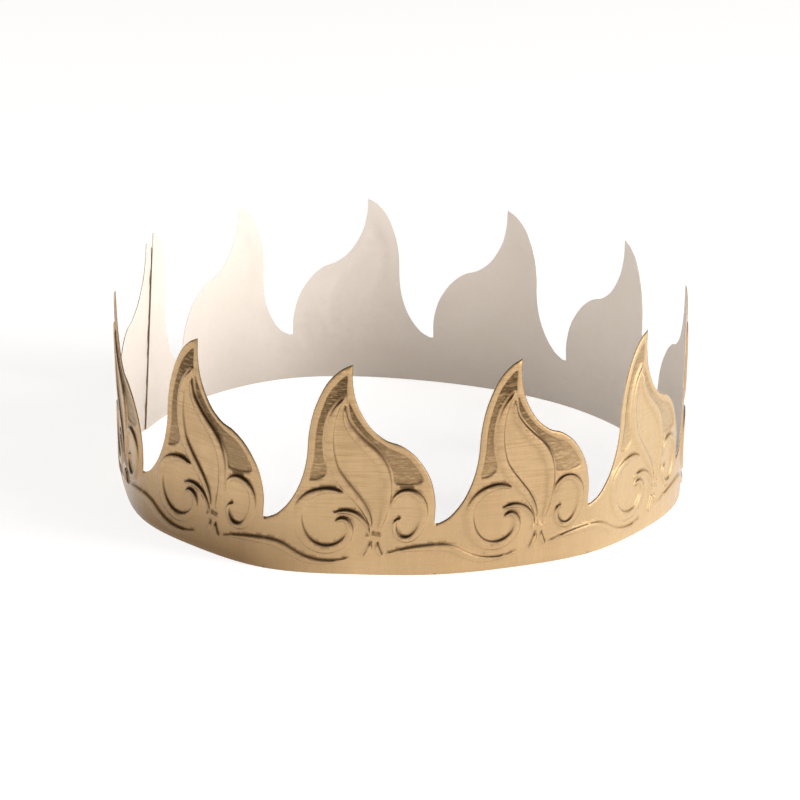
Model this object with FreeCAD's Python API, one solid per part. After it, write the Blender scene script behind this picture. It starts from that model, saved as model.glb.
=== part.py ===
"""Paper crown: one strip of gold-faced card, cut into flame points, embossed and taped into a ring.

Lengths are in millimetres and angles in degrees. The strip is drawn flat, "along" its lower edge and "up" from it,
and the drawing is laid on the curved, slightly leaning wall of the ring. Flame 0 starts the front, the flames run
anticlockwise seen from above, and the two ends lap at the back on the left.
"""
import FreeCAD, Part
import math
import os
from FreeCAD import Vector

Vector2d = FreeCAD.Base.Vector2d

SIZES = {
    "flame_pitch": 54.5,
    "flame_height": 71.3,
    "band_height": 17.8,
    "card_thickness": 0.45,
    "lap_length": 25.0,
    "lap_slack": 4.5,
    "end_flame_extra": 2.6,
    "relief_height": 0.35,
    "field_depth": 0.18,
    "scroll_width": 3.0,
    "leaf_width": 3.0,
    "small_scroll_width": 2.2,
    "vine_width": 2.4,
    "tape_thickness": 0.2,
    "tape_clearance": 0.03,
    "tape_margin": 4.0,
}

doc = FreeCAD.newDocument("PaperCrown")
sheet = doc.addObject("Spreadsheet::Sheet", "sizes")
for row, (name, value) in enumerate(SIZES.items(), start=1):
    sheet.set(f"A{row}", name)
    sheet.set(f"B{row}", str(value))
    sheet.setAlias(f"B{row}", name)
doc.recompute()
size = {name: float(sheet.get(name)) for name in SIZES}

PITCH = size["flame_pitch"]
CARD = size["card_thickness"]
WALL_TOP = size["flame_height"] + size["end_flame_extra"]

# Degrees that the card turns across each flame, and at the valley that follows it. The card bends most where
# it is narrowest. The last flame lies behind the strip's start, so the lists also serve the flame before 0.
FLAME_TURNS = [2.7, 3.8, 0, 3.9, 5.7, 19.9, 14, 14.1, 15.9, 14.2, 7.3]
VALLEY_TURNS = [34.4, 40.6, 20.4, 26.2, 27, 13.9, 19.2, 8.2, 27, 17.9, 23.6]
# Degrees that the wall leans outwards at each flame's tip.
FLAME_LEANS = [3.3, -0.2, 0.8, -0.3, -0.9, -1.7, -1.5, -2.9, -3.5, -2.4, -1.4]
FLAMES_ROUND = len(FLAME_TURNS)
# Where the bends sit, in pitches after a flame's tip, and which way the third flame faces.
FLAME_BEND = 0.03
VALLEY_BEND = 0.53
FRONT_FLAME = 2
FRONT_HEADING = 2.1

# The ring closes a little longer than its flames' pitches, so the first and last flames don't quite line up.
RING = FLAMES_ROUND * PITCH + size["lap_slack"]
STRIP_START = -PITCH - size["lap_length"]
STRIP_END = (FLAMES_ROUND - 1) * PITCH
SAMPLES_A_PITCH = 8
STEPS_A_SAMPLE = 8

# One flame is drawn from the foot of its tip, at this pitch, and each of its sides is cut in straight steps.
DRAWN_PITCH = 54.5
CHORDS_A_SIDE = 12

FLAME_RISE = [(-25.6, 17.8), (-22, 19.9), (-18, 24.8), (-15, 31.5), (-13.4, 39), (-12.9, 48),
              (-11.4, 56), (-8, 64.3), (-4, 69), (0, 71.3)]
FLAME_FALL = [(0, 71.3), (0.2, 65), (1.9, 57.8), (6, 50.6), (11, 46.3), (16, 44.4), (21, 40.4),
              (25.5, 33.4), (27.5, 25.5), (27.5, 17.8)]

DRAWN_BAND = FLAME_RISE[0][1]
DRAWN_HEIGHT = FLAME_RISE[-1][1]

# The sunk, rough field round the leaf: inside the flame's rim, over the scrolls and along the leaf's outside.
FIELD = [
    (-12.7, 32), (-11.3, 40), (-10.8, 48.3), (-9.4, 55.2), (-6.6, 62.4), (-1.7, 67.6), (-1.3, 61.5), (1.2, 55),
    (6, 48.3), (12, 43.9), (17.2, 41.4), (21, 37.5), (23.6, 32.6), (20, 31.3), (17, 31.2), (14.2, 31.8),
    (13.4, 35.4), (11.6, 39.2), (8.8, 43), (5.4, 46.4), (2.4, 49.6), (-0.1, 53.4), (-2, 61), (-5.9, 57.2),
    (-7.9, 52), (-8.5, 46.5), (-8.1, 40.7), (-6.8, 35), (-8.6, 33), (-10.4, 32.1)]

# Centre lines of the raised strokes, each with the size that sets its width.
STROKES = {
    "scroll": ("scroll_width", [
        (-1.4, 27.9), (-4.2, 28.8), (-7.6, 28.8), (-12, 27), (-15, 23.2), (-15.7, 18.5), (-14.3, 13.6),
        (-11.3, 10.1), (-7.2, 8.7), (-3.2, 9.5), (-0.2, 12.1), (0.9, 15.5), (-0.1, 18.4), (-2.2, 19.2),
        (-4.2, 17.9)]),
    "leaf_left": ("leaf_width", [
        (-2.3, 60), (-4.6, 56.3), (-6, 52), (-6.6, 46.5), (-6.2, 41.5), (-4.9, 36.5), (-2.4, 32.5),
        (0.8, 28.6), (3.9, 24.8), (6.3, 20.8), (7.6, 16.5)]),
    "leaf_right": ("leaf_width", [
        (-2.2, 57.3), (-1.4, 52.3), (1, 48.3), (4.2, 44.7), (7.4, 41.6), (10, 38), (11.5, 34), (12.1, 29.5),
        (11.8, 24.5), (10.9, 19.5), (9.9, 15.7)]),
    "small_scroll": ("small_scroll_width", [
        (13.7, 23), (14.3, 26.3), (16.1, 28.4), (18.6, 29), (21.4, 27.9), (23.4, 25.2), (24, 21.6),
        (23.3, 17.5), (21.4, 14.1), (18.8, 12.6), (16.1, 13.5), (14.7, 16.2), (15.1, 18.9), (17, 19.6)]),
}
# Vine that runs along the band from flame to flame.
VINE = [(-42.5, 7.2), (-38, 8.6), (-33, 9.4), (-28, 9.7), (-24, 9.6), (-20.5, 8.7), (-17.3, 6.9), (-14, 5.3),
        (-10.5, 4.4), (-6.5, 4.2), (-2.5, 4.7), (1.5, 5.9)]


def ramp(pitches):
    """Share of a bend that is done, this many pitches from its middle."""
    reach = min(max(2 * pitches, -1), 1)
    return (1 + reach) ** 2 / 2 if reach < 0 else 1 - (1 - reach) ** 2 / 2


def turned(along):
    """Degrees that the card has turned since before its start."""
    total = 0
    for lap in (-RING, 0, RING):
        for flame in range(FLAMES_ROUND):
            pitches = (along - lap) / PITCH - flame
            total += FLAME_TURNS[flame] * ramp(pitches - FLAME_BEND)
            total += VALLEY_TURNS[flame] * ramp(pitches - VALLEY_BEND)
    return total * 360 / (sum(FLAME_TURNS) + sum(VALLEY_TURNS))


def heading(along):
    front = (FRONT_FLAME + FLAME_BEND) * PITCH
    return math.radians(FRONT_HEADING + turned(along) - turned(front))


def outward(along):
    direction = heading(along)
    return Vector(math.sin(direction), -math.cos(direction), 0)


def lean(along):
    """Outward lean in radians, eased from flame to flame. The strip's start leans as the end that it laps."""
    pitches = (along + RING if along < -PITCH / 2 else along) / PITCH
    flame = math.floor(pitches)
    ease = (1 - math.cos(math.pi * (pitches - flame))) / 2
    before = FLAME_LEANS[flame % FLAMES_ROUND]
    after = FLAME_LEANS[(flame + 1) % FLAMES_ROUND]
    return math.radians(before + (after - before) * ease)


def path_point(path, along):
    curve = Part.BSplineCurve()
    curve.interpolate(Points=[point for where, point in path], Parameters=[where for where, point in path])
    return curve.value(along)


def plan_points():
    """Points of the strip's outer face at its lower edge, as (along, point), closed into a lapped ring."""
    sample = PITCH / SAMPLES_A_PITCH
    bend = FLAME_BEND * PITCH
    first = math.floor((STRIP_START - bend) / sample)
    last = math.ceil((STRIP_END - bend) / sample)
    step = sample / STEPS_A_SAMPLE
    here = Vector(0, 0, 0)
    path = [(bend + first * sample, here)]
    for number in range(first, last):
        for part in range(STEPS_A_SAMPLE):
            direction = heading(bend + number * sample + (part + 0.5) * step)
            here = here + Vector(math.cos(direction), math.sin(direction), 0) * step
        path.append((bend + (number + 1) * sample, here))
    seam = STRIP_END - size["lap_length"] / 2
    miss = path_point(path, seam) - path_point(path, seam - RING)
    inset = outward(seam) * (CARD + size["tape_thickness"])
    return [(along, point - (miss + inset) * (along / RING)) for along, point in path]


PLAN = plan_points()


def wall(depth):
    """The leaning wall this far outside the card's outer face, as a surface measured (along, up)."""
    edges = []
    for up in (0, WALL_TOP):
        points = []
        for along, point in PLAN:
            out = depth + up * math.sin(lean(along))
            points.append(point + outward(along) * out + Vector(0, 0, up * math.cos(lean(along))))
        edge = Part.BSplineCurve()
        edge.interpolate(Points=points, Parameters=[along for along, point in PLAN])
        edges.append(edge)
    low, high = edges
    surface = Part.BSplineSurface()
    surface.buildFromPolesMultsKnots(
        [[a, b] for a, b in zip(low.getPoles(), high.getPoles())],
        low.getMultiplicities(), [2, 2], low.getKnots(), [0, WALL_TOP], False, False, low.Degree, 1)
    return surface


def place(flame, spot):
    """A drawn spot of one flame, on the strip."""
    along, up = spot
    if up <= DRAWN_BAND:
        height = up * size["band_height"] / DRAWN_BAND
    else:
        share = (up - DRAWN_BAND) / (DRAWN_HEIGHT - DRAWN_BAND)
        height = size["band_height"] + share * (size["flame_height"] - size["band_height"])
    return flame * PITCH + along * PITCH / DRAWN_PITCH, height


def curve_through(spots):
    curve = Part.Geom2d.BSplineCurve2d()
    curve.interpolate([Vector2d(*spot) for spot in spots])
    return curve


def along_curve(curve, cuts):
    """Parameters that share a curve into this many parts."""
    reach = curve.LastParameter - curve.FirstParameter
    return [curve.FirstParameter + reach * cut / cuts for cut in range(cuts + 1)]


def softened(spots):
    """The drawn spots of a flame's side with more between them, all on one smooth curve."""
    curve = curve_through(spots)
    points = [curve.value(parameter) for parameter in along_curve(curve, CHORDS_A_SIDE)]
    return [spots[0]] + [(point.x, point.y) for point in points[1:-1]] + [spots[-1]]


def straight_lines(spots):
    """Straight cuts from spot to spot of the strip."""
    return [Part.Geom2d.Line2dSegment(Vector2d(*a), Vector2d(*b)) for a, b in zip(spots, spots[1:])]


def strip_outline():
    """Spots round the whole strip: lower edge, cut end, flames from last to first, cut start."""
    spots = [(STRIP_START, 0), (STRIP_END, 0)]
    last = FLAMES_ROUND - 1
    band = size["band_height"]
    taller = (WALL_TOP - band) / (size["flame_height"] - band)
    rise = softened([place(last, spot) for spot in FLAME_RISE])
    spots += [(along, band + (up - band) * taller) for along, up in rise[::-1]]
    for flame in range(last - 1, -2, -1):
        spots += softened([place(flame, spot) for spot in FLAME_FALL])[::-1]
        rise = softened([place(flame, spot) for spot in FLAME_RISE])
        spots += [(max(along, STRIP_START), up) for along, up in rise[-2::-1]]
    return straight_lines(spots + spots[:1])


def stroke_outline(spots, width):
    """The two sides of a stroke that swells from one pointed end and thins to the other."""
    centre = curve_through(spots)
    sides = [[], []]
    for cut, parameter in enumerate(along_curve(centre, len(spots))[1:-1], start=1):
        middle = centre.value(parameter)
        course = centre.tangent(parameter)
        half = width / 2 * math.sin(math.pi * cut / len(spots)) ** 0.5
        for side, sign in zip(sides, (1, -1)):
            side.append((middle.x - sign * half * course.y, middle.y + sign * half * course.x))
    return straight_lines([spots[0]] + sides[0] + [spots[-1]] + sides[1][::-1] + [spots[0]])


def loop(lines, surface):
    return Part.Wire([line.toShape(surface) for line in lines])


def bands_between(lines, near, far):
    """The walls that stand between one outline laid on two surfaces."""
    return [Part.makeRuledSurface(line.toShape(near), line.toShape(far)) for line in lines]


def flat_foot(line, near, far):
    """The lower edge of the card, one plane that it stands on."""
    edges = [line.toShape(near), line.toShape(far)]
    for end in (0, 1):
        edges.append(Part.LineSegment(*[edge.Vertexes[end].Point for edge in edges[:2]]).toShape())
    return Part.Face(Part.Wire(Part.sortEdges(edges)[0]))


def closed_solid(faces):
    sewn = Part.makeCompound(faces)
    sewn.sewShape(0.002)
    solid = Part.Solid(sewn.Shells[0])
    if solid.Volume < 0:
        solid.reverse()
    return solid


def crown_strip_shape():
    outer = wall(0)
    inner = wall(-CARD)
    raised = wall(size["relief_height"])
    sunk = wall(-size["field_depth"])
    outline = strip_outline()
    front = Part.Face(outer, loop(outline, outer))
    faces = [Part.Face(inner, loop(outline, inner))]
    faces.append(flat_foot(outline[0], outer, inner))
    faces += bands_between(outline[1:], outer, inner)
    figures = []
    for flame in range(-1, FLAMES_ROUND - 1):
        figures.append((sunk, straight_lines([place(flame, spot) for spot in FIELD + FIELD[:1]])))
        for width, spots in STROKES.values():
            spots = [place(flame, spot) for spot in spots]
            figures.append((raised, stroke_outline(spots, size[width])))
    for flame in range(-1, FLAMES_ROUND):
        spots = [place(flame, spot) for spot in VINE]
        lap_edge = STRIP_START if flame < 0 else STRIP_START + RING
        margin = size["vine_width"]
        if flame < 0:
            spots = [spot for spot in spots if spot[0] > lap_edge + margin]
        if flame == FLAMES_ROUND - 1:
            spots = [spot for spot in spots if spot[0] < lap_edge - margin]
        figures.append((raised, stroke_outline(spots, size["vine_width"])))
    holes = []
    for level, lines in figures:
        hole = loop(lines, outer)
        holes.append(hole)
        faces.append(Part.Face(level, loop(lines, level)))
        faces += bands_between(lines, outer, level)
    front.cutHoles(holes)
    faces.append(front)
    return closed_solid(faces)


def seam_tape_shape():
    """The double-sided tape that holds the lapped ends, inside the band."""
    near = wall(0)
    far = wall(size["tape_thickness"] - size["tape_clearance"])
    margin = size["tape_margin"]
    left = STRIP_END - size["lap_length"] + margin
    right = STRIP_END - margin
    top = size["band_height"] - margin / 2
    corners = [(left, margin / 2), (right, margin / 2), (right, top), (left, top)]
    lines = straight_lines(corners + corners[:1])
    faces = [Part.Face(near, loop(lines, near)), Part.Face(far, loop(lines, far))]
    return closed_solid(faces + bands_between(lines, near, far))


strip = doc.addObject("Part::Feature", "crown_strip")
strip.Shape = crown_strip_shape()
tape = doc.addObject("Part::Feature", "seam_tape")
tape.Shape = seam_tape_shape()
middle = strip.Shape.BoundBox.Center
for feature in (strip, tape):
    feature.Label = feature.Name
    feature.Placement.Base = Vector(-middle.x, -middle.y, 0)
doc.recompute()

for feature in doc.Objects:
    if "Invalid" in feature.State or "Error" in feature.State:
        raise RuntimeError(f"{feature.Name} failed to compute")
for feature in (strip, tape):
    if feature.Shape.isNull() or not feature.Shape.isValid():
        raise RuntimeError(f"{feature.Label} has no valid shape")

os.makedirs("parts", exist_ok=True)
for feature in (strip, tape):
    feature.Shape.exportStep(f"parts/{feature.Label}.step")
    print(feature.Label, feature.Shape.BoundBox, round(feature.Shape.Volume, 1))
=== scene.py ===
"""Paper crown of gold-faced card, dressed for the camera: embossed strip, taped lap, pale table, soft light.

Lengths in the drawing are millimetres, as in the part; meshes are in metres. The strip is drawn flat, "along" its
lower edge and "up" from it, and is then bent round the ring.
"""
import math

import bpy
import numpy as np
from mathutils import Matrix, Vector
from mathutils.geometry import delaunay_2d_cdt


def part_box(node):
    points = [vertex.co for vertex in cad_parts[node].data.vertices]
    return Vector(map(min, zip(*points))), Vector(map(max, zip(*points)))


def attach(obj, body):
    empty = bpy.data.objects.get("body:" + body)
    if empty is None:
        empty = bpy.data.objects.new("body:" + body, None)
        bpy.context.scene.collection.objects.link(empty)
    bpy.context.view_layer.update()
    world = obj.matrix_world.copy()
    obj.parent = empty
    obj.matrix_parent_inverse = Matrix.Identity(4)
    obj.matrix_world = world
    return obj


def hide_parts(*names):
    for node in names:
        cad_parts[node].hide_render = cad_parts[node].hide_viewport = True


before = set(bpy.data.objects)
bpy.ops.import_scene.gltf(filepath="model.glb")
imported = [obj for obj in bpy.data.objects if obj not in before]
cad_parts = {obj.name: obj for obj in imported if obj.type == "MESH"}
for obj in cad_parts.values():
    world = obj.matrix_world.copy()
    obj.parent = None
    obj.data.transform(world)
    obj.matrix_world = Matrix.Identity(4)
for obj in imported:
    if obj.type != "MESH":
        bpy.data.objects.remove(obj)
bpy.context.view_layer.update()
MM = 0.001

# Flame outline
# One flame of the strip is a curved point with a shoulder on its right, drawn from the foot of its tip.
# Smooth curves go through the drawn spots, and the cut edge is walked in short even steps.
PITCH = 54.5
BAND = 17.8
TIP = 71.3
END_TIP = 73.9
FLAME_RISE = [(-25.6, 17.8), (-22, 19.9), (-18, 24.8), (-15, 31.5), (-13.4, 39), (-12.9, 48),
              (-11.4, 56), (-8, 64.3), (-4, 69), (0, 71.3)]
FLAME_FALL = [(0, 71.3), (0.2, 65), (1.9, 57.8), (6, 50.6), (11, 46.3), (16, 44.4), (21, 40.4),
              (25.5, 33.4), (27.5, 25.5), (27.5, 17.8)]
PANEL_LEFT = -26.3
PANEL_RIGHT = PANEL_LEFT + PITCH


def smooth_line(spots, step):
    """Points about this far apart on a smooth curve through the spots."""
    spots = np.array(spots, float)
    ends = np.vstack([2 * spots[0] - spots[1], spots, 2 * spots[-1] - spots[-2]])
    points = []
    for a, b, c, d in zip(ends, ends[1:], ends[2:], ends[3:]):
        cuts = max(1, round(np.linalg.norm(c - b) / step))
        for cut in range(cuts):
            t = cut / cuts
            points.append(0.5 * (2 * b + (c - a) * t + (2 * a - 5 * b + 4 * c - d) * t * t
                                 + (3 * b - a - 3 * c + d) * t ** 3))
    points.append(spots[-1])
    return np.array(points)


RISE = smooth_line(FLAME_RISE, 1.0)
FALL = smooth_line(FLAME_FALL, 1.0)
LAP_SLACK = 4.5
LAP_LENGTH = 25.0
START_CUT = -LAP_LENGTH
# Heights at which neighbouring panels meet, closer together where the vine crosses.
JOINT_UPS = [0, 1.5, 3, 4.5, 6, 7, 7.6, 8.2, 8.8, 9.4, 10, 10.6, 11.2, 11.8, 12.4, 13.2, 14.4, 15.6, 16.7]


def upright(along, top, joint=True):
    """Points up a straight side of a panel."""
    ups = [up for up in JOINT_UPS if up < top] if joint else list(np.arange(0, top, 1.2))
    return np.array([(along, up) for up in ups])


def foot_line(left, right):
    """Points along the lower edge, its right end left out."""
    count = round((right - left) / 1.5)
    return np.array([(left + (right - left) * part / count, 0.0) for part in range(count)])


def middle_outline():
    """Anticlockwise: lower edge, right side, valley, fall, rise, valley and left side."""
    left = upright(PANEL_LEFT, BAND)
    right = upright(PANEL_RIGHT, BAND)
    corner_right = [[PANEL_RIGHT, BAND]]
    corner_left = [[PANEL_LEFT, BAND]]
    return np.vstack([foot_line(PANEL_LEFT, PANEL_RIGHT), right, corner_right, FALL[::-1], RISE[::-1][1:],
                      corner_left, left[::-1][:-1]])


def start_outline():
    """The strip's cut start, whose flame is cut through its left foot."""
    rise = RISE[RISE[:, 0] > START_CUT + 0.3]
    right = upright(PANEL_RIGHT, BAND)
    side = upright(START_CUT, BAND + 0.2, joint=False)
    return np.vstack([foot_line(START_CUT, PANEL_RIGHT), right, [[PANEL_RIGHT, BAND]], FALL[::-1], rise[::-1][1:],
                      [[START_CUT, BAND + 0.2]], side[::-1][:-1]])


def end_outline():
    """The strip's cut end, straight down from a tip that stands a little taller than the others."""
    rise = RISE.copy()
    rise[:, 1] = BAND + (rise[:, 1] - BAND) * (END_TIP - BAND) / (TIP - BAND)
    left = upright(PANEL_LEFT, BAND)
    side = upright(0.0, END_TIP, joint=False)
    return np.vstack([foot_line(PANEL_LEFT, 0.0), side, rise[::-1], [[PANEL_LEFT, BAND]], left[::-1][:-1]])


# Embossed ornament
# Each flame carries a two-part leaf over a pair of scrolls, on a band with a running vine.
# Strokes are pressed up from behind, with soft shoulders; the field round the leaf is pressed down and left rough.
RELIEF = 0.65
FIELD_DEPTH = 0.25
FIELD = [
    (-12.7, 32), (-11.3, 40), (-10.8, 48.3), (-9.4, 55.2), (-6.6, 62.4), (-1.7, 67.6), (-1.3, 61.5), (1.2, 55),
    (6, 48.3), (12, 43.9), (17.2, 41.4), (21, 37.5), (23.6, 32.6), (20, 31.3), (17, 31.2), (14.2, 31.8),
    (13.4, 35.4), (11.6, 39.2), (8.8, 43), (5.4, 46.4), (2.4, 49.6), (-0.1, 53.4), (-2, 61), (-5.9, 57.2),
    (-7.9, 52), (-8.5, 46.5), (-8.1, 40.7), (-6.8, 35), (-8.6, 33), (-10.4, 32.1)]
STROKES = [
    (3.0, [(-1.4, 27.9), (-4.2, 28.8), (-7.6, 28.8), (-12, 27), (-15, 23.2), (-15.7, 18.5), (-14.3, 13.6),
           (-11.3, 10.1), (-7.2, 8.7), (-3.2, 9.5), (-0.2, 12.1), (0.9, 15.5), (-0.1, 18.4), (-2.2, 19.2),
           (-4.2, 17.9)]),
    (3.0, [(-2.3, 60), (-4.6, 56.3), (-6, 52), (-6.6, 46.5), (-6.2, 41.5), (-4.9, 36.5), (-2.4, 32.5),
           (0.8, 28.6), (3.9, 24.8), (6.3, 20.8), (7.6, 16.5)]),
    (3.0, [(-2.2, 57.3), (-1.4, 52.3), (1, 48.3), (4.2, 44.7), (7.4, 41.6), (10, 38), (11.5, 34), (12.1, 29.5),
           (11.8, 24.5), (10.9, 19.5), (9.9, 15.7)]),
    (2.2, [(13.7, 23), (14.3, 26.3), (16.1, 28.4), (18.6, 29), (21.4, 27.9), (23.4, 25.2), (24, 21.6),
           (23.3, 17.5), (21.4, 14.1), (18.8, 12.6), (16.1, 13.5), (14.7, 16.2), (15.1, 18.9), (17, 19.6)]),
    (1.4, [(7, 14.2), (6.3, 16.8), (4.5, 19.4), (1.8, 21.3), (-1.5, 21.9), (-4.8, 20.9)]),
    (1.4, [(7.6, 11.4), (6.9, 8.5), (5.2, 5.6)]),
    (1.4, [(9.4, 11.3), (9.9, 8.8), (11.3, 6.6)]),
]
BEADS = [(6.3, 13.4), (8.1, 13.9), (10, 13.4)]
BEAD_RADIUS = 0.8
VINE_WIDTH = 2.4
VINE = [(-42.5, 7.2), (-38, 8.6), (-33, 9.4), (-28, 9.7), (-24, 9.6), (-20.5, 8.7), (-17.3, 6.9), (-14, 5.3),
        (-10.5, 4.4), (-6.5, 4.2), (-2.5, 4.7), (1.5, 5.9)]
VINE_FAINTNESS = 0.5
NARROW_SHOULDER = 0.45
BROAD_SHOULDER = 0.95


class Stroke:
    """A raised line that swells from one pointed end and thins to the other."""

    def __init__(self, width, spots, taper=0.5):
        self.centre = smooth_line(spots, 0.8)
        share = np.linspace(0, 1, len(self.centre))
        self.half = width / 2 * np.sin(np.pi * share) ** taper
        swell = np.sin(np.pi * share) * min(1, width / 3)
        self.shoulder = NARROW_SHOULDER + (BROAD_SHOULDER - NARROW_SHOULDER) * swell

    def height(self, points):
        """Share of the relief at each point, from 0 off the stroke to 1 on it."""
        a, b = self.centre[:-1], self.centre[1:]
        run = b - a
        to = points[:, None, :] - a[None]
        t = np.clip((to * run).sum(2) / (run * run).sum(1), 0, 1)
        gap = np.linalg.norm(to - t[..., None] * run[None], axis=2)
        off = gap - (self.half[:-1] * (1 - t) + self.half[1:] * t)
        up = np.clip(0.5 - (off / self.shoulder[:-1]).min(1), 0, 1)
        return up * up * (3 - 2 * up)

    def edges(self):
        """Lines along both sides at the foot and at the shoulder."""
        run = np.gradient(self.centre, axis=0)
        run /= np.linalg.norm(run, axis=1)[:, None]
        normal = np.stack([-run[:, 1], run[:, 0]], 1)
        lines = []
        for sign in (1, -1):
            for extra in (-0.5, 0, 0.5):
                reach = self.half + extra * self.shoulder
                lines.append((self.centre + sign * normal * reach[:, None])[reach > 0.15])
        return [line for line in lines if len(line) > 1]


def flame_strokes():
    """The strokes of one whole flame, with the beads of its collar."""
    beads = [Stroke(2 * BEAD_RADIUS, [(x - 0.3, y), (x, y), (x + 0.3, y)]) for x, y in BEADS]
    return [Stroke(width, spots) for width, spots in STROKES] + beads


def vines_of(kind):
    """The vines that cross a panel, its neighbour's among them."""
    if kind == "end":
        return [Stroke(VINE_WIDTH, VINE[:5], 0.9)]
    own = VINE[5:] if kind == "start" else VINE
    return [Stroke(VINE_WIDTH, own, 0.9), Stroke(VINE_WIDTH, [(x + PITCH, y) for x, y in VINE], 0.9)]


def inside(points, loop):
    """Which points lie inside a closed loop."""
    loop = np.array(loop, float)
    hits = np.zeros(len(points), bool)
    for (x0, y0), (x1, y1) in zip(loop, np.roll(loop, -1, axis=0)):
        crosses = (y0 > points[:, 1]) != (y1 > points[:, 1])
        with np.errstate(divide="ignore", invalid="ignore"):
            hits ^= crosses & (points[:, 0] < (x1 - x0) * (points[:, 1] - y0) / (y1 - y0) + x0)
    return hits


def distance(points, line, closed=False):
    """Distance of each point from a line."""
    line = np.array(line, float)
    if closed:
        line = np.vstack([line, line[:1]])
    a, run = line[:-1], np.diff(line, axis=0)
    to = points[:, None, :] - a[None]
    t = np.clip((to * run).sum(2) / np.maximum((run * run).sum(1), 1e-12), 0, 1)
    return np.linalg.norm(to - t[..., None] * run[None], axis=2).min(1)


FIELD_LINE = smooth_line(FIELD + FIELD[:1], 0.9)[:-1]
FIELD_EDGE = 0.35


def field_share(points):
    """Share of the sunk field at each point, from 0 outside to 1 well inside."""
    share = np.clip(distance(points, FIELD_LINE, closed=True) / FIELD_EDGE, 0, 1)
    return np.where(inside(points, FIELD_LINE), share, 0)


# Strip panels
# The card has a pressed outer face, a calmer inner face and a cut edge between them.
# Three panels make the strip: its cut start, the repeated flame and its cut end.
CARD = 0.45
PRESSED_EDGE = 0.33
PRESSED_WIDTH = 0.4
BACK_RELIEF = 0.45
FRONT_GRID = 1.1
BACK_GRID = 2.2
# Painted shade: the side that pressed slopes must face to be darkened, and how dark the flames' cut edge is
# painted.
PAINTED_SHADE_SIDE = np.array([0.12, 0.42])
CUT_EDGE_PAINTED_SHADE = 0.6


def inset_lines(outline, width):
    """A line this far inside an anticlockwise outline, in runs that keep clear of its corners."""
    run = np.roll(outline, -1, axis=0) - np.roll(outline, 1, axis=0)
    run /= np.linalg.norm(run, axis=1)[:, None]
    line = outline + width * np.stack([-run[:, 1], run[:, 0]], 1)
    clear = distance(line, outline, closed=True) > width * 0.9
    runs, current = [], []
    for point, good in zip(line, clear):
        if good:
            current.append(point)
        elif current:
            runs.append(np.array(current))
            current = []
    if current:
        runs.append(np.array(current))
    return [points for points in runs if len(points) > 1]


def triangulate(outline, lines, spacing):
    """Triangles that fill an outline, with vertices along the lines and on an even grid elsewhere."""
    low, high = outline.min(0), outline.max(0)
    kept = []
    for line in lines:
        near = inside(line, outline) & (distance(line, outline, closed=True) > 0.3)
        kept.append((line, near))
    xs = np.arange(low[0] + spacing / 2, high[0], spacing)
    ys = np.arange(low[1] + spacing / 2, high[1], spacing)
    grid = np.array([(x + (row % 2) * spacing / 2, y) for row, y in enumerate(ys) for x in xs])
    clear = inside(grid, outline) & (distance(grid, outline, closed=True) > spacing * 0.5)
    for line in lines:
        clear &= distance(grid, line) > spacing * 0.45
    vertices = [tuple(point) for point in outline]
    edges = [(n, (n + 1) % len(outline)) for n in range(len(outline))]
    for line, near in kept:
        for n in range(len(line)):
            if near[n]:
                vertices.append(tuple(line[n]))
                if n and near[n - 1]:
                    edges.append((len(vertices) - 2, len(vertices) - 1))
    vertices += [tuple(point) for point in grid[clear]]
    flat, _, faces, sources, _, _ = delaunay_2d_cdt([Vector(v) for v in vertices], edges, [], 1, 1e-4)
    points = np.array([tuple(v) for v in flat])
    rim = {source: number for number, found in enumerate(sources) for source in found if source < len(outline)}
    return points, [tuple(face) for face in faces], [rim[n] for n in range(len(outline))]


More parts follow.
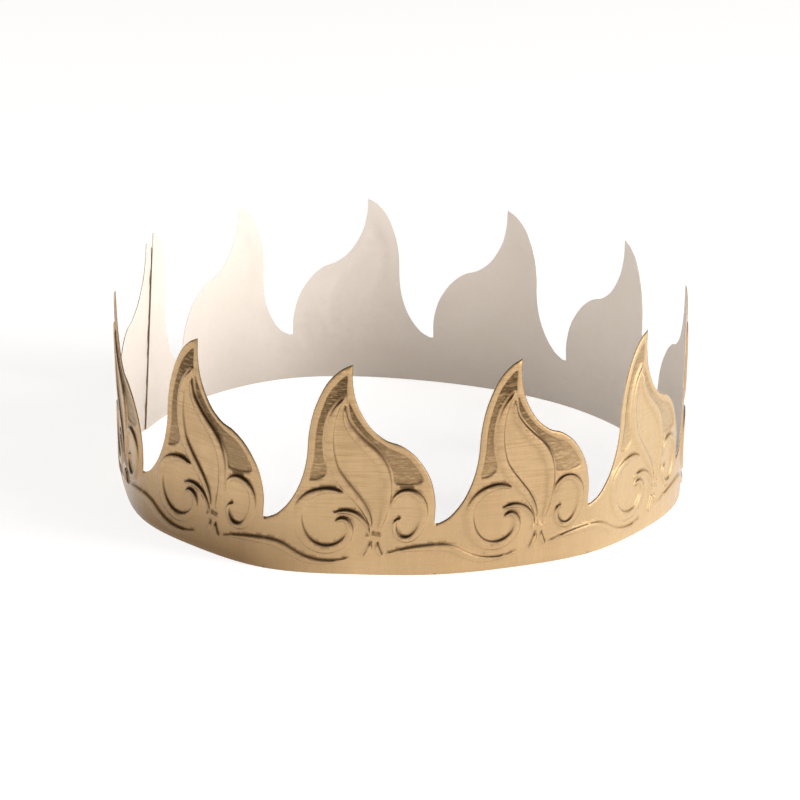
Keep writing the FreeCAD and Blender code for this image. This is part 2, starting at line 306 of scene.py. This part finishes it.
def panel(name, outline, kind):
    """One flat panel of the strip, with its relief and with the marks that its materials read, painted crease shade
    among them.
    """
    vines = vines_of(kind)
    strokes = vines if kind == "end" else flame_strokes() + vines
    lines = [line for stroke in strokes for line in stroke.edges()]
    if kind != "end":
        lines += [np.vstack([FIELD_LINE, FIELD_LINE[:1]])] + inset_lines(FIELD_LINE[::-1], FIELD_EDGE)
    lines += inset_lines(outline, PRESSED_WIDTH)
    front, front_faces, front_rim = triangulate(outline, lines, FRONT_GRID)
    back, back_faces, back_rim = triangulate(outline, [stroke.centre for stroke in strokes[:4]], BACK_GRID)

    def relief(points):
        up = RELIEF * np.max([stroke.height(points) for stroke in strokes], axis=0)
        return up if kind == "end" else up - FIELD_DEPTH * field_share(points)

    near_cut = np.clip(1 - distance(front, outline, closed=True) / PRESSED_WIDTH, 0, 1)
    sides = (np.abs(front[:, 0] - PANEL_LEFT) < 1e-6) & (kind != "start")
    sides |= (np.abs(front[:, 0] - PANEL_RIGHT) < 1e-6) & (kind != "end")
    open_side = sides & (front[:, 1] > 0.1) & (front[:, 1] < BAND - 0.1)
    near_cut[open_side] = 0
    # Painted shade: pressed slopes that face up the sheet, and the cut edge of the flames above the band, are
    # marked to be darkened in the foil.
    painted_crease_shade = np.clip((relief(front - PAINTED_SHADE_SIDE) - relief(front + PAINTED_SHADE_SIDE)) / RELIEF, 0, 1)
    painted_crease_shade *= 1 - VINE_FAINTNESS * np.max([vine.height(front - PAINTED_SHADE_SIDE) for vine in vines], axis=0)
    painted_crease_shade = np.maximum(painted_crease_shade, CUT_EDGE_PAINTED_SHADE * near_cut * (front[:, 1] > BAND))
    front_out = relief(front) - PRESSED_EDGE * near_cut
    back_out = BACK_RELIEF * relief(back) - CARD
    vertices = [(x, -out, up) for (x, up), out in zip(front, front_out)]
    vertices += [(x, -out, up) for (x, up), out in zip(back, back_out)]
    first_back = len(front)
    faces = list(front_faces) + [tuple(first_back + n for n in face[::-1]) for face in back_faces]
    side = [0] * len(front_faces) + [1] * len(back_faces)
    for n in range(len(outline)):
        after = (n + 1) % len(outline)
        (x0, y0), (x1, y1) = outline[n], outline[after]
        joint = x0 == x1 and ((x0 == PANEL_LEFT and kind != "start") or (x0 == PANEL_RIGHT and kind != "end"))
        if not joint:
            faces.append((front_rim[n], first_back + back_rim[n], first_back + back_rim[after], front_rim[after]))
            side.append(2)
    mesh = bpy.data.meshes.new(name)
    mesh.from_pydata([Vector(v) * MM for v in vertices], [], faces)
    mesh.attributes.new("side", "INT", "FACE").data.foreach_set("value", side)
    field = np.zeros(len(front)) if kind == "end" else field_share(front)
    for mark, values in (("field", field), ("painted_crease_shade", painted_crease_shade)):
        values = np.concatenate([values, np.zeros(len(back))])
        mesh.attributes.new(mark, "FLOAT", "POINT").data.foreach_set("value", values)
    obj = bpy.data.objects.new(name, mesh)
    bpy.context.scene.collection.objects.link(obj)
    return obj


start_panel = panel("start_panel", start_outline(), "start")
flame_panel = panel("flame_panel", middle_outline(), "middle")
end_panel = panel("end_panel", end_outline(), "end")

# Ring path
# The card bends most where it is narrowest, so the ring is a soft polygon in plan.
# Each point of the path knows its place, the way up the leaning wall and the way out.
FLAME_TURNS = [2.7, 3.8, 0, 3.9, 5.7, 19.9, 14, 14.1, 15.9, 14.2, 7.3]
VALLEY_TURNS = [34.4, 40.6, 20.4, 26.2, 27, 13.9, 19.2, 8.2, 27, 17.9, 23.6]
FLAME_LEANS = [3.3, -0.2, 0.8, -0.3, -0.9, -1.7, -1.5, -2.9, -3.5, -2.4, -1.4]
FLAME_BEND = 0.03
VALLEY_BEND = 0.53
FRONT_FLAME = 2
FRONT_HEADING = 2.1
FLAMES = len(FLAME_TURNS)
RING = FLAMES * PITCH + LAP_SLACK
TAPE = 0.2
PATH_STEP = 0.5


def ramp(pitches):
    """Share of one bend that is behind a point, from 0 half a pitch before it to 1 half a pitch after."""
    reach = np.clip(2 * pitches, -1, 1)
    return np.where(reach < 0, (1 + reach) ** 2 / 2, 1 - (1 - reach) ** 2 / 2)


def turned(along):
    """Degrees that the strip has turned by this place; the whole ring makes 360."""
    total = np.zeros(len(along))
    for lap in (-RING, 0, RING):
        for flame in range(FLAMES):
            pitches = (along - lap) / PITCH - flame
            total += FLAME_TURNS[flame] * ramp(pitches - FLAME_BEND)
            total += VALLEY_TURNS[flame] * ramp(pitches - VALLEY_BEND)
    return total * 360 / (sum(FLAME_TURNS) + sum(VALLEY_TURNS))


def lean(along):
    """Outward lean of the wall in radians, eased from one flame's to the next."""
    pitches = np.where(along < -PITCH / 2, along + RING, along) / PITCH
    flame = np.floor(pitches).astype(int)
    ease = (1 - np.cos(np.pi * (pitches - flame))) / 2
    leans = np.array(FLAME_LEANS)
    before, after = leans[flame % FLAMES], leans[(flame + 1) % FLAMES]
    return np.radians(before + (after - before) * ease)


def ring_path():
    """The path's points in millimetres, with the ways up and out, one for each step along the strip."""
    first = -PITCH - LAP_LENGTH
    count = round(((FLAMES - 1) * PITCH - first) / PATH_STEP)
    alongs = first + PATH_STEP * np.arange(count + 1)
    front = turned(np.array([(FRONT_FLAME + FLAME_BEND) * PITCH]))[0]

    def heading(along):
        return np.radians(FRONT_HEADING + turned(along) - front)

    steps = heading(alongs[:-1] + PATH_STEP / 2)
    runs = np.stack([np.cos(steps), np.sin(steps)], 1) * PATH_STEP
    points = np.vstack([[0, 0], np.cumsum(runs, axis=0)])
    course = heading(alongs)
    outs = np.stack([np.sin(course), -np.cos(course), np.zeros(len(course))], 1)
    seam = (FLAMES - 1) * PITCH - LAP_LENGTH / 2

    def spot(along):
        return np.array([np.interp(along, alongs, points[:, axis]) for axis in (0, 1)])

    way = np.array([math.sin(heading(np.array([seam]))[0]), -math.cos(heading(np.array([seam]))[0])])
    miss = spot(seam) - spot(seam - RING) + way * (CARD + TAPE)
    points = points - miss[None] * (alongs / RING)[:, None]
    leans = lean(alongs)[:, None]
    ups = outs * np.sin(leans) + np.array([0, 0, 1]) * np.cos(leans)
    return first, np.column_stack([points, np.zeros(len(points))]), ups, outs


path_start, path_points, path_ups, path_outs = ring_path()
path_mesh = bpy.data.meshes.new("ring_path")
path_mesh.from_pydata([Vector(point) * MM for point in path_points], [], [])
for name, values in (("way_up", path_ups), ("way_out", path_outs)):
    path_mesh.attributes.new(name, "FLOAT_VECTOR", "POINT").data.foreach_set("vector", values.ravel())
path_object = bpy.data.objects.new("ring_path", path_mesh)
bpy.context.scene.collection.objects.link(path_object)


# Materials
# Gold foil over card: warm satin metal, ruled along the strip and hatched where it was pressed down, with painted
# shade in the creases. Painted shade darkens it low on the left of the front, and a painted highlight makes its
# right-hand flame paler.
# The inside and the cut edges are bare white card with a faint fibre.
class Nodes:
    """A material's nodes, added and wired by name."""

    def __init__(self, name):
        self.material = bpy.data.materials.new(name)
        self.material.use_nodes = True
        self.tree = self.material.node_tree
        self.shader = self.tree.nodes["Principled BSDF"]

    def add(self, kind, inputs=(), **settings):
        node = self.tree.nodes.new(kind)
        for key, value in settings.items():
            setattr(node, key, value)
        for key, value in dict(inputs).items():
            if isinstance(value, bpy.types.NodeSocket):
                self.tree.links.new(value, node.inputs[key])
            else:
                node.inputs[key].default_value = value
        return node

    def sheet_place(self, scale):
        """The card's own flat coordinates in millimetres, stretched by this scale."""
        place = self.add("ShaderNodeAttribute", attribute_name="sheet_place")
        return self.add("ShaderNodeMapping", {"Vector": place.outputs["Vector"], "Scale": scale}).outputs["Vector"]

    def noise(self, scale, detail=3.0, rough=0.55):
        node = self.add("ShaderNodeTexNoise", {"Vector": self.sheet_place(scale), "Scale": 1.0, "Detail": detail,
                                               "Roughness": rough})
        return node.outputs["Fac"]

    def between(self, value, low, high, to_low=0.0, to_high=1.0):
        return self.add("ShaderNodeMapRange", {0: value, 1: low, 2: high, 3: to_low, 4: to_high}).outputs[0]

    def sums(self, operation, a, b):
        return self.add("ShaderNodeMath", {0: a, 1: b}, operation=operation).outputs[0]

    def mixed(self, share, low, high):
        node = self.add("ShaderNodeMix", data_type="RGBA")
        for socket, value in ((node.inputs[0], share), (node.inputs[6], low), (node.inputs[7], high)):
            if isinstance(value, bpy.types.NodeSocket):
                self.tree.links.new(value, socket)
            else:
                socket.default_value = value
        return node.outputs[2]

    def set(self, name, value):
        if isinstance(value, bpy.types.NodeSocket):
            self.tree.links.new(value, self.shader.inputs[name])
        else:
            self.shader.inputs[name].default_value = value


GOLD_DEEP = (0.54, 0.36, 0.185, 1)
GOLD_BRIGHT = (0.61, 0.415, 0.22, 1)
GOLD_STREAK = (0.47, 0.31, 0.17, 1)
GOLD_RULED = (0.36, 0.22, 0.10, 1)
GOLD_PAINTED_SHADE = (0.18, 0.105, 0.045, 1)
GOLD_PAINTED_HIGHLIGHT = (0.78, 0.58, 0.335, 1)
FIELD_BROWN = (0.09, 0.05, 0.015, 1)
CREASE_PAINTED_SHADE = (0.05, 0.025, 0.01, 1)
PAINTED_SHADE_RISE = (-30.0, 20.0)
PAINTED_SHADE_FALL = (112.0, 74.0)
PAINTED_SHADE_UPS = (24.0, 2.0)
PAINTED_HIGHLIGHT_RISE = (176.0, 204.0)
PAINTED_HIGHLIGHT_FALL = (262.0, 236.0)
foil = Nodes("gold_foil")
field = foil.add("ShaderNodeAttribute", attribute_name="field").outputs["Fac"]
painted_crease_shade = foil.add("ShaderNodeAttribute", attribute_name="painted_crease_shade").outputs["Fac"]
on_sheet = foil.add("ShaderNodeSeparateXYZ", {0: foil.sheet_place((1.0, 1.0, 1.0))})
sheet_along = on_sheet.outputs[0]
sheet_up = on_sheet.outputs[2]
ruling = foil.noise((0.06, 1.0, 1.5), 4.0, 0.6)
streaks = foil.noise((0.3, 1.0, 0.03), 3.0)
mottle = foil.noise((0.05, 0.05, 0.05), 2.0)
hatch = foil.between(foil.noise((0.4, 1.0, 1.5), 3.0, 0.75), 0.4, 0.56)
gold = foil.mixed(foil.between(mottle, 0.3, 0.7), GOLD_DEEP, GOLD_BRIGHT)
gold = foil.mixed(foil.between(streaks, 0.35, 0.7, 0.0, 0.3), gold, GOLD_STREAK)
ruled = foil.sums("MULTIPLY", foil.between(ruling, 0.45, 0.7), foil.between(sheet_up, 14.0, 34.0, 0.15, 0.6))
gold = foil.mixed(ruled, gold, GOLD_RULED)
# Painted shade: the foil is darkened low on the left of the front.
low_left_painted_shade = foil.sums("MULTIPLY", foil.between(sheet_along, *PAINTED_SHADE_FALL), foil.between(sheet_along, *PAINTED_SHADE_RISE))
low_left_painted_shade = foil.sums("MULTIPLY", low_left_painted_shade, foil.between(sheet_up, *PAINTED_SHADE_UPS, 0.0, 0.9))
gold = foil.mixed(low_left_painted_shade, gold, GOLD_PAINTED_SHADE)
# Painted highlight: the right-hand flame of the front is made paler, and its painted crease shade and dark field
# are weakened.
pale = foil.sums("MULTIPLY", foil.between(sheet_along, *PAINTED_HIGHLIGHT_RISE), foil.between(sheet_along, *PAINTED_HIGHLIGHT_FALL))
gold = foil.mixed(foil.sums("MULTIPLY", pale, 0.55), gold, GOLD_PAINTED_HIGHLIGHT)
clear = foil.between(pale, 0.0, 1.0, 1.0, 0.45)
painted_crease_shade = foil.sums("MULTIPLY", painted_crease_shade, clear)
depth = foil.sums("MULTIPLY", foil.sums("MULTIPLY", field, clear), foil.between(sheet_up, 38.0, 62.0, 0.5, 1.0))
worn = foil.sums("MULTIPLY", depth, foil.between(hatch, 0.0, 1.0, 0.35, 1.0))
gold = foil.mixed(foil.between(worn, 0.0, 1.0, 0.0, 0.92), gold, FIELD_BROWN)
# Painted shade along the creases and the flames' cut edge.
gold = foil.mixed(foil.between(painted_crease_shade, 0.1, 0.8, 0.0, 0.92), gold, CREASE_PAINTED_SHADE)
foil.set("Base Color", gold)
foil.set("Metallic", 0.8)
rough = foil.sums("ADD", foil.between(streaks, 0.3, 0.7, 0.25, 0.3), foil.between(worn, 0.0, 1.0, 0.0, 0.15))
foil.set("Roughness", rough)
grain = foil.sums("SUBTRACT", foil.between(ruling, 0.0, 1.0, 0.0, 0.05), foil.between(worn, 0.0, 1.0, 0.0, 0.22))
bump = foil.add("ShaderNodeBump", {"Height": grain, "Distance": MM, "Strength": 1.0})
foil.set("Normal", bump.outputs[0])

CARD_SHADE = (0.83, 0.755, 0.68, 1)
CARD_LIGHT = (0.87, 0.80, 0.73, 1)
CARD_BLUSH = (0.79, 0.70, 0.61, 1)
card = Nodes("white_card")
fibre = card.noise((0.9, 1.0, 2.4), 5.0, 0.65)
blush = card.noise((0.03, 0.03, 0.05), 2.0)
white = card.mixed(card.between(fibre, 0.3, 0.7), CARD_SHADE, CARD_LIGHT)
white = card.mixed(card.between(blush, 0.3, 0.7, 0.0, 0.35), white, CARD_BLUSH)
card.set("Base Color", white)
card.set("Roughness", 0.62)
fuzz = card.add("ShaderNodeBump", {"Height": fibre, "Distance": 0.03 * MM, "Strength": 0.6})
card.set("Normal", fuzz.outputs[0])


# Strip round the ring
# Flames repeat along the strip, and every point is carried from the flat sheet to the path by its ways up and out.
# The result is a plain mesh in the place of the part's own strip.
class Tree:
    """A geometry tree with named inputs, built node by node."""

    def __init__(self, name):
        self.tree = bpy.data.node_groups.new(name, "GeometryNodeTree")
        self.sockets = {}
        self.input("Geometry", "NodeSocketGeometry")
        self.tree.interface.new_socket("Geometry", in_out="OUTPUT", socket_type="NodeSocketGeometry")
        self.group_in = self.tree.nodes.new("NodeGroupInput")
        self.group_out = self.tree.nodes.new("NodeGroupOutput")

    def input(self, name, kind):
        self.sockets[name] = self.tree.interface.new_socket(name, in_out="INPUT", socket_type=kind)

    def add(self, kind, inputs=(), **settings):
        node = self.tree.nodes.new(kind)
        for key, value in settings.items():
            setattr(node, key, value)
        for key, value in dict(inputs).items():
            for single in value if isinstance(value, list) else [value]:
                if isinstance(single, bpy.types.NodeSocket):
                    self.tree.links.new(single, node.inputs[key])
                else:
                    node.inputs[key].default_value = single
        return node

    def value(self, name):
        return self.group_in.outputs[name]

    def mesh_of(self, name):
        return self.add("GeometryNodeObjectInfo", {"Object": self.value(name)}).outputs["Geometry"]

    def named(self, name, data_type):
        return self.add("GeometryNodeInputNamedAttribute", {"Name": name}, data_type=data_type).outputs[0]

    def maths(self, operation, a, b=0.0):
        return self.add("ShaderNodeMath", {0: a, 1: b}, operation=operation).outputs[0]

    def vectors(self, operation, a, b):
        key = "Scale" if operation == "SCALE" else 1
        return self.add("ShaderNodeVectorMath", {0: a, key: b}, operation=operation).outputs[0]

    def moved(self, mesh, offset):
        return self.add("GeometryNodeTransform", {"Geometry": mesh, "Translation": offset}).outputs[0]


ring = Tree("bent_strip")
for name, kind in (("Start Panel", "NodeSocketObject"), ("End Panel", "NodeSocketObject"),
                   ("Path", "NodeSocketObject"), ("Pitch", "NodeSocketFloat"), ("Flames", "NodeSocketInt"),
                   ("Path Start", "NodeSocketFloat"), ("Path Step", "NodeSocketFloat"),
                   ("Foil", "NodeSocketMaterial"), ("Card", "NodeSocketMaterial")):
    ring.input(name, kind)
pitch_shift = ring.add("ShaderNodeCombineXYZ", {0: ring.value("Pitch")}).outputs[0]
row = ring.add("GeometryNodeMeshLine", {"Count": ring.value("Flames"), "Offset": pitch_shift})
flames = ring.add("GeometryNodeInstanceOnPoints", {"Points": row.outputs[0], "Instance": ring.value("Geometry")})
flames = ring.add("GeometryNodeRealizeInstances", {"Geometry": flames.outputs[0]}).outputs[0]
back_shift = ring.vectors("SCALE", pitch_shift, -1.0)
far_shift = ring.vectors("SCALE", pitch_shift, ring.value("Flames"))
parts = ring.add("GeometryNodeJoinGeometry", {0: [
    ring.moved(ring.mesh_of("End Panel"), far_shift), flames, ring.moved(ring.mesh_of("Start Panel"), back_shift)]})
sheet = ring.add("GeometryNodeMergeByDistance", {"Geometry": parts.outputs[0], "Distance": 0.02 * MM}).outputs[0]
position = ring.add("GeometryNodeInputPosition").outputs[0]
in_mm = ring.vectors("SCALE", position, 1 / MM)
sheet = ring.add("GeometryNodeStoreNamedAttribute", {"Geometry": sheet, "Name": "sheet_place", "Value": in_mm},
                 data_type="FLOAT_VECTOR", domain="POINT").outputs[0]
axes = ring.add("ShaderNodeSeparateXYZ", {0: position})
walked = ring.maths("DIVIDE", ring.maths("SUBTRACT", axes.outputs[0], ring.value("Path Start")),
                    ring.value("Path Step"))
whole = ring.maths("FLOOR", walked)
part_walked = ring.maths("SUBTRACT", walked, whole)
path = ring.mesh_of("Path")


def on_path(field_socket):
    """A value of the path at each point's walk along it, shared between the two nearest path points."""
    found = []
    for extra in (0.0, 1.0):
        number = ring.maths("ADD", whole, extra)
        node = ring.add("GeometryNodeSampleIndex", data_type="FLOAT_VECTOR", domain="POINT", clamp=True)
        ring.tree.links.new(path, node.inputs["Geometry"])
        ring.tree.links.new(field_socket, node.inputs["Value"])
        ring.tree.links.new(number, node.inputs["Index"])
        found.append(node.outputs[0])
    step = ring.vectors("SCALE", ring.vectors("SUBTRACT", found[1], found[0]), part_walked)
    return ring.vectors("ADD", found[0], step)


foot = on_path(position)
rise = ring.vectors("SCALE", on_path(ring.named("way_up", "FLOAT_VECTOR")), axes.outputs[2])
inward = ring.vectors("SCALE", on_path(ring.named("way_out", "FLOAT_VECTOR")), axes.outputs[1])
place = ring.vectors("SUBTRACT", ring.vectors("ADD", foot, rise), inward)
bent = ring.add("GeometryNodeSetPosition", {"Geometry": sheet, "Position": place}).outputs[0]
bent = ring.add("GeometryNodeRealizeInstances", {"Geometry": bent}).outputs[0]
bent = ring.add("GeometryNodeSetMaterial", {"Geometry": bent, "Material": ring.value("Foil")}).outputs[0]
side_mark = ring.named("side", "INT")
not_front = ring.add("FunctionNodeCompare", {2: side_mark, 3: 0}, data_type="INT",
                     operation="GREATER_THAN").outputs[0]
bent = ring.add("GeometryNodeSetMaterial", {"Geometry": bent, "Selection": not_front,
                                            "Material": ring.value("Card")}).outputs[0]
ring.tree.links.new(bent, ring.group_out.inputs[0])

modifier = flame_panel.modifiers.new("bent_strip", "NODES")
modifier.node_group = ring.tree
for name, value in (("Start Panel", start_panel), ("End Panel", end_panel), ("Path", path_object),
                    ("Pitch", PITCH * MM), ("Flames", FLAMES - 1), ("Path Start", path_start * MM),
                    ("Path Step", PATH_STEP * MM), ("Foil", foil.material), ("Card", card.material)):
    modifier[ring.sockets[name].identifier] = value
depsgraph = bpy.context.evaluated_depsgraph_get()
crown_mesh = bpy.data.meshes.new_from_object(flame_panel.evaluated_get(depsgraph))
flame_panel.modifiers.remove(modifier)
for helper in (start_panel, flame_panel, end_panel, path_object):
    bpy.data.objects.remove(helper)
crown_mesh.name = "crown"
if crown_mesh.materials[0] is None:
    crown_mesh.materials.pop(index=0)
crown_mesh.shade_smooth()
crown_mesh.set_sharp_from_angle(angle=math.radians(55))
corners = np.empty(3 * len(crown_mesh.vertices))
crown_mesh.vertices.foreach_get("co", corners)
corners = corners.reshape(-1, 3)
strip_low, strip_high = (np.array(corner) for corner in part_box("crown_strip"))
centring = (strip_low + strip_high - corners.min(0) - corners.max(0)) / 2
corners[:, :2] += centring[:2]
crown_mesh.vertices.foreach_set("co", corners.ravel())
crown_mesh.update()
crown = bpy.data.objects.new("crown", crown_mesh)
bpy.context.scene.collection.objects.link(crown)
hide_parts("crown_strip")
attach(crown, "root")

# Seam tape
# Clear double-sided tape between the lapped ends keeps the part's own shape.
# Only its thin edge could ever show, so it is a cloudy film with a soft sheen.
tape = Nodes("clear_tape_film")
cloud = tape.add("ShaderNodeTexNoise", {"Scale": 900.0, "Detail": 3.0})
tape.tree.links.new(tape.add("ShaderNodeTexCoord").outputs["Object"], cloud.inputs["Vector"])
tape.set("Base Color", tape.mixed(cloud.outputs["Fac"], (0.80, 0.78, 0.72, 1), (0.88, 0.87, 0.82, 1)))
tape.set("Roughness", 0.4)
tape_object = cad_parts["seam_tape"]
tape_object.data.materials.clear()
tape_object.data.materials.append(tape.material)

# Table
# A plain pale table top that runs out of the picture on all sides and keeps the crown's soft shadow.
# Part of its white is its own, so that it stays white without brighter lamps.
TABLE_REACH = 6.0
TABLE_TOP = -0.03 * MM
TABLE_OWN_WHITE = 0.74
table_mesh = bpy.data.meshes.new("table")
corner_signs = ((-1, -1), (1, -1), (1, 1), (-1, 1))
table_mesh.from_pydata([(x * TABLE_REACH, y * TABLE_REACH, TABLE_TOP) for x, y in corner_signs], [], [(0, 1, 2, 3)])
table = bpy.data.objects.new("table", table_mesh)
bpy.context.scene.collection.objects.link(table)
top = Nodes("table_top")
top.set("Base Color", (0.62, 0.62, 0.62, 1))
top.set("Roughness", 0.9)
top.set("Specular IOR Level", 0.1)
seen = top.add("ShaderNodeLightPath")
any_view = top.sums("MAXIMUM", seen.outputs["Is Camera Ray"],
                    top.sums("MAXIMUM", seen.outputs["Is Glossy Ray"], seen.outputs["Is Transmission Ray"]))
top.set("Emission Color", (1, 1, 1, 1))
top.set("Emission Strength", top.sums("MULTIPLY", any_view, TABLE_OWN_WHITE))
table_mesh.materials.append(top.material)

# Light
# A large soft lamp from the right lights the left inside and leaves the right inside in soft shade.
# Weak lamps on the left and in front fill in, and only the weak window on the right is mirrored in the foil.
# The room is warm, brighter on the right and dark overhead, so that the pressed edges that face up turn dark.
scene = bpy.context.scene
scene.view_settings.view_transform = "Standard"
ROOM_WALLS = 0.7
ROOM_CEILING = 0.03
ROOM_LEFT = 0.6
ROOM_RIGHT = 1.6
world = bpy.data.worlds.new("room")
world.use_nodes = True
sky = world.node_tree
direction = sky.nodes.new("ShaderNodeTexCoord")
towards = sky.nodes.new("ShaderNodeSeparateXYZ")
sky.links.new(direction.outputs["Object"], towards.inputs[0])
glow = sky.nodes.new("ShaderNodeMath")
glow.operation = "MULTIPLY"
for number, (axis, settings) in enumerate(((2, (0.1, 0.6, ROOM_WALLS, ROOM_CEILING)),
                                           (0, (-0.8, 0.8, ROOM_LEFT, ROOM_RIGHT)))):
    ramp_node = sky.nodes.new("ShaderNodeMapRange")
    for socket, value in zip(ramp_node.inputs[1:5], settings):
        socket.default_value = value
    sky.links.new(towards.outputs[axis], ramp_node.inputs[0])
    sky.links.new(ramp_node.outputs[0], glow.inputs[number])
sky.links.new(glow.outputs[0], sky.nodes["Background"].inputs["Strength"])
sky.nodes["Background"].inputs["Color"].default_value = (1.0, 0.87, 0.75, 1)
scene.world = world


def lamp(name, place, size, power, mirrored):
    """A square lamp turned to the crown, which shows in the foil as a reflection or not."""
    data = bpy.data.lights.new(name, "AREA")
    data.shape = "SQUARE"
    data.size = size
    data.energy = power
    obj = bpy.data.objects.new(name, data)
    obj.location = place
    obj.visible_glossy = mirrored
    obj.rotation_euler = (-Vector(place)).to_track_quat("-Z", "Y").to_euler()
    scene.collection.objects.link(obj)


lamp("key", (1.55, -0.4, 0.45), 0.8, 27, False)
lamp("window", (1.5, -0.75, 0.4), 1.2, 7, True)
lamp("left_fill", (-1.5, -0.2, 0.4), 0.7, 10, False)
lamp("front_fill", (-0.2, -1.9, 0.6), 0.8, 9, False)

# Camera
# It stands a metre off, looks down twenty degrees on the ring and is tilted a little to one side.
CAMERA_PLACE = (-0.0001, -0.98685, 0.38667)
CAMERA_DOWN = 20.09
CAMERA_ROLL = 2.39
CAMERA_SENSOR = 36.0
CAMERA_LENS = 137.1
camera_data = bpy.data.cameras.new("camera")
camera_data.sensor_width = CAMERA_SENSOR
camera_data.lens = CAMERA_LENS
camera = bpy.data.objects.new("camera", camera_data)
turn = Matrix.Rotation(math.radians(90 - CAMERA_DOWN), 4, "X") @ Matrix.Rotation(math.radians(CAMERA_ROLL), 4, "Z")
camera.matrix_world = Matrix.Translation(CAMERA_PLACE) @ turn
scene.collection.objects.link(camera)
scene.camera = camera
